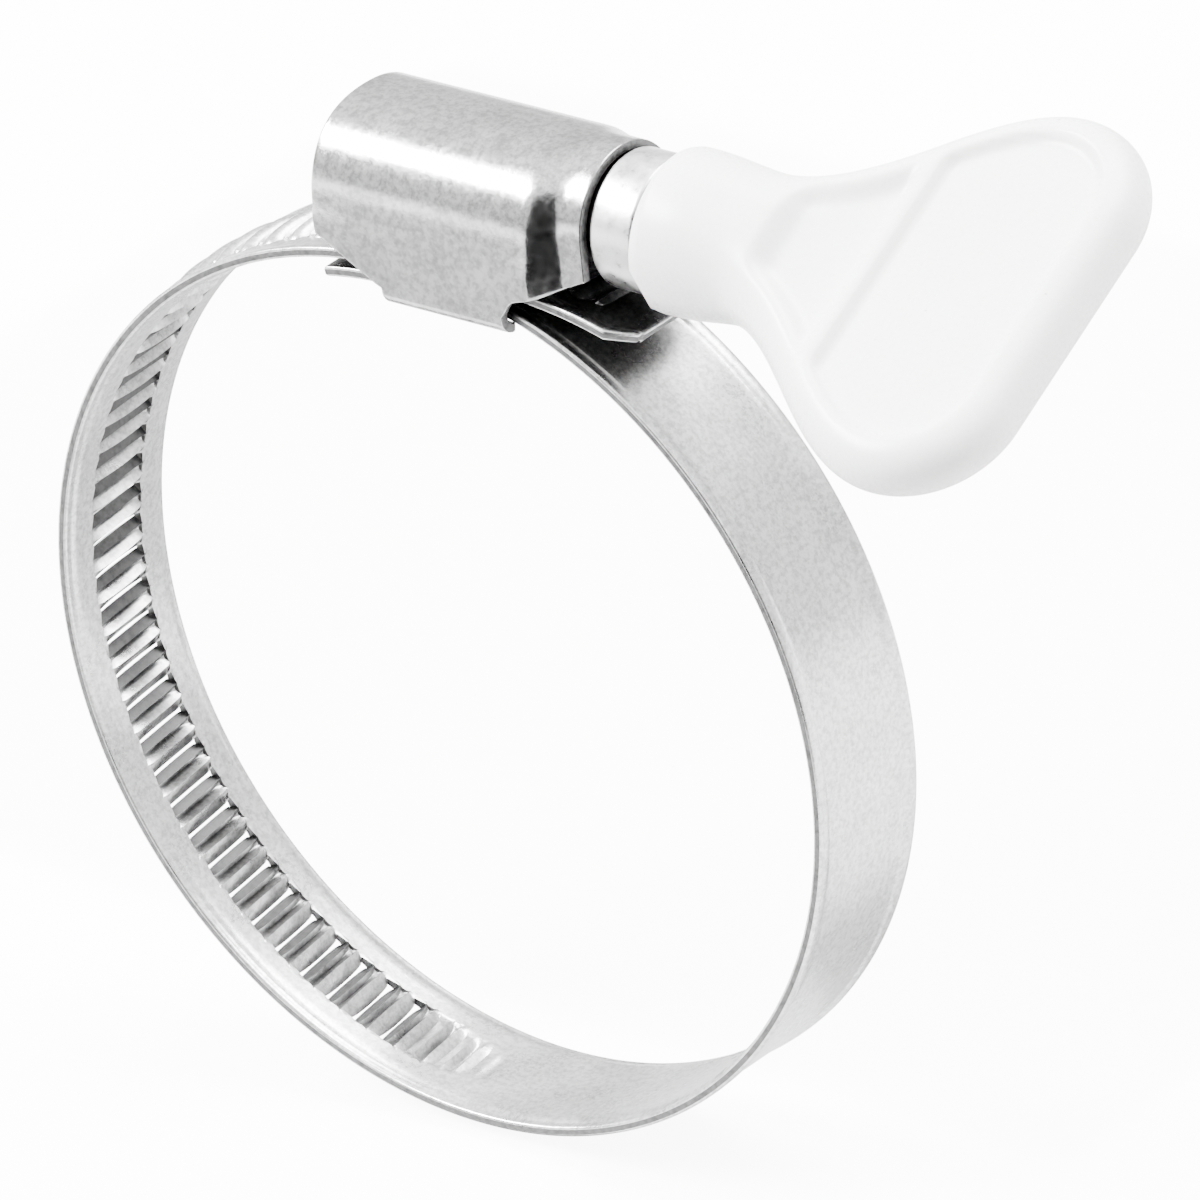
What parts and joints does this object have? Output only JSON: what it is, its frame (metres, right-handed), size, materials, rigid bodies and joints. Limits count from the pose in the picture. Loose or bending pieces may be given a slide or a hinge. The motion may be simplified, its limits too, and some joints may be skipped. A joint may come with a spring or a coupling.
{
  "type": "hose clamp",
  "caption": "Worm-drive hose clamp: perforated steel band, pressed housing and a screw with a white plastic wing handle for tightening by hand.",
  "frame": {"origin": "centre of the open ring, in the middle of the band's width", "axes": "+X along the screw towards the handle, +Y along the hose, +Z from the ring's centre to the housing"},
  "size_m": [0.0736, 0.0242, 0.0666],
  "materials": {
    "housing_steel": "polished stainless with faint pressing marks",
    "band_steel": "bright rolled stainless strip",
    "screw_steel": "bright zinc",
    "handle_plastic": "white, semi-gloss"
  },
  "bodies": {
    "root": {"housing_cover": "housing_steel", "band_fixed_end": "band_steel"},
    "screw": {"worm_screw": "screw_steel", "wing_handle": "handle_plastic"},
    "band_plain_01": {"band_plain_01": "band_steel"},
    "band_plain_02": {"band_plain_02": "band_steel"},
    "band_plain_03": {"band_plain_03": "band_steel"},
    "band_plain_04": {"band_plain_04": "band_steel"},
    "band_plain_05": {"band_plain_05": "band_steel"},
    "band_plain_06": {"band_plain_06": "band_steel"},
    "band_plain_07": {"band_plain_07": "band_steel"},
    "band_plain_08": {"band_plain_08": "band_steel"},
    "band_plain_09": {"band_plain_09": "band_steel"},
    "band_plain_10": {"band_plain_10": "band_steel"},
    "band_thread_run": {"band_thread_04": "band_steel", "band_thread_05": "band_steel", "band_thread_06": "band_steel", "band_thread_07": "band_steel", "band_thread_08": "band_steel", "band_thread_09": "band_steel", "band_thread_10": "band_steel"},
    "band_thread_03": {"band_thread_03": "band_steel"},
    "band_thread_02": {"band_thread_02": "band_steel"},
    "band_thread_01": {"band_thread_01": "band_steel"},
    "band_thread_11": {"band_thread_11": "band_steel"},
    "band_thread_12": {"band_thread_12": "band_steel"},
    "band_thread_13": {"band_thread_13": "band_steel"}
  },
  "joints": [
    {"name": "screw_turn", "type": "hinge", "parent": "root", "child": "screw", "pos_m": [0, 0, 0.03175], "axis": [-1, 0, 0], "range_deg": [0, 12060]},
    {"name": "band_plain_bend_01", "type": "hinge", "parent": "root", "child": "band_plain_01", "pos_m": [0.00917, 0, 0.02577], "axis": [0, 1, 0], "range_deg": [0, 18.6], "deforming": ["band_plain_01"]},
    {"name": "band_plain_bend_02", "type": "hinge", "parent": "band_plain_01", "child": "band_plain_02", "pos_m": [0.01647, 0, 0.02183], "axis": [0, 1, 0], "range_deg": [0, 11.99], "deforming": ["band_plain_02"]},
    {"name": "band_plain_bend_03", "type": "hinge", "parent": "band_plain_02", "child": "band_plain_03", "pos_m": [0.02225, 0, 0.0159], "axis": [0, 1, 0], "range_deg": [0, 11.99], "deforming": ["band_plain_03"]},
    {"name": "band_plain_bend_04", "type": "hinge", "parent": "band_plain_03", "child": "band_plain_04", "pos_m": [0.026, 0, 0.0085], "axis": [0, 1, 0], "range_deg": [0, 11.99], "deforming": ["band_plain_04"]},
    {"name": "band_plain_bend_05", "type": "hinge", "parent": "band_plain_04", "child": "band_plain_05", "pos_m": [0.02735, 0, 0.00033], "axis": [0, 1, 0], "range_deg": [0, 11.99], "deforming": ["band_plain_05"]},
    {"name": "band_plain_bend_06", "type": "hinge", "parent": "band_plain_05", "child": "band_plain_06", "pos_m": [0.02619, 0, -0.00788], "axis": [0, 1, 0], "range_deg": [0, 11.99], "deforming": ["band_plain_06"]},
    {"name": "band_plain_bend_07", "type": "hinge", "parent": "band_plain_06", "child": "band_plain_07", "pos_m": [0.02263, 0, -0.01536], "axis": [0, 1, 0], "range_deg": [0, 11.99], "deforming": ["band_plain_07"]},
    {"name": "band_plain_bend_08", "type": "hinge", "parent": "band_plain_07", "child": "band_plain_08", "pos_m": [0.01699, 0, -0.02144], "axis": [0, 1, 0], "range_deg": [0, 11.99], "deforming": ["band_plain_08"]},
    {"name": "band_plain_bend_09", "type": "hinge", "parent": "band_plain_08", "child": "band_plain_09", "pos_m": [0.00978, 0, -0.02554], "axis": [0, 1, 0], "range_deg": [0, 11.99], "deforming": ["band_plain_09"]},
    {"name": "band_plain_bend_10", "type": "hinge", "parent": "band_plain_09", "child": "band_plain_10", "pos_m": [0.00169, 0, -0.0273], "axis": [0, 1, 0], "range_deg": [0, 11.99], "deforming": ["band_plain_10"]},
    {"name": "band_thread_feed", "type": "hinge", "parent": "root", "child": "band_thread_run", "pos_m": [0.002, 0, -0.00078], "axis": [0, 1, 0], "range_deg": [0, 140.35], "deforming": ["band_thread_04", "band_thread_05", "band_thread_06", "band_thread_07", "band_thread_08", "band_thread_09", "band_thread_10"]},
    {"name": "band_thread_bend_03", "type": "hinge", "parent": "band_thread_run", "child": "band_thread_03", "pos_m": [-0.02056, 0, -0.01803], "axis": [0, 1, 0], "range_deg": [0, 3.6], "deforming": ["band_thread_03"]},
    {"name": "band_thread_bend_02", "type": "hinge", "parent": "band_thread_03", "child": "band_thread_02", "pos_m": [-0.01422, 0, -0.02336], "axis": [0, 1, 0], "range_deg": [0, 0.456], "deforming": ["band_thread_02"]},
    {"name": "band_thread_bend_01", "type": "hinge", "parent": "band_thread_02", "child": "band_thread_01", "pos_m": [-0.00657, 0, -0.02655], "axis": [0, 1, 0], "range_deg": [-17.85, 0], "deforming": ["band_thread_01"]},
    {"name": "band_thread_bend_11", "type": "hinge", "parent": "band_thread_run", "child": "band_thread_11", "pos_m": [-0.00439, 0, 0.027], "axis": [0, 1, 0], "range_deg": [0, 1.99], "deforming": ["band_thread_11"]},
    {"name": "band_thread_bend_12", "type": "hinge", "parent": "band_thread_11", "child": "band_thread_12", "pos_m": [0.00391, 0, 0.02735], "axis": [0, 1, 0], "range_deg": [0, 12.57], "deforming": ["band_thread_12"]},
    {"name": "band_thread_bend_13", "type": "hinge", "parent": "band_thread_12", "child": "band_thread_13", "pos_m": [0.01221, 0, 0.02696], "axis": [0, 1, 0], "range_deg": [0, 1.77], "deforming": ["band_thread_13"]}
  ],
  "couplings": [
    {"joint": "band_plain_bend_01", "follows": "screw_turn", "ratio": 0.0015124},
    {"joint": "band_plain_bend_02", "follows": "screw_turn", "ratio": 0.00097497},
    {"joint": "band_plain_bend_03", "follows": "screw_turn", "ratio": 0.00097497},
    {"joint": "band_plain_bend_04", "follows": "screw_turn", "ratio": 0.00097497},
    {"joint": "band_plain_bend_05", "follows": "screw_turn", "ratio": 0.00097497},
    {"joint": "band_plain_bend_06", "follows": "screw_turn", "ratio": 0.00097497},
    {"joint": "band_plain_bend_07", "follows": "screw_turn", "ratio": 0.00097497},
    {"joint": "band_plain_bend_08", "follows": "screw_turn", "ratio": 0.00097497},
    {"joint": "band_plain_bend_09", "follows": "screw_turn", "ratio": 0.00097497},
    {"joint": "band_plain_bend_10", "follows": "screw_turn", "ratio": 0.00097497},
    {"joint": "band_thread_feed", "follows": "screw_turn", "ratio": 0.011409},
    {"joint": "band_thread_bend_03", "follows": "screw_turn", "ratio": 0.00029231},
    {"joint": "band_thread_bend_02", "follows": "screw_turn", "ratio": 0.000037071},
    {"joint": "band_thread_bend_01", "follows": "screw_turn", "ratio": -0.0014513},
    {"joint": "band_thread_bend_11", "follows": "screw_turn", "ratio": 0.00016138},
    {"joint": "band_thread_bend_12", "follows": "screw_turn", "ratio": 0.0010221},
    {"joint": "band_thread_bend_13", "follows": "screw_turn", "ratio": 0.00014365}
  ]
}
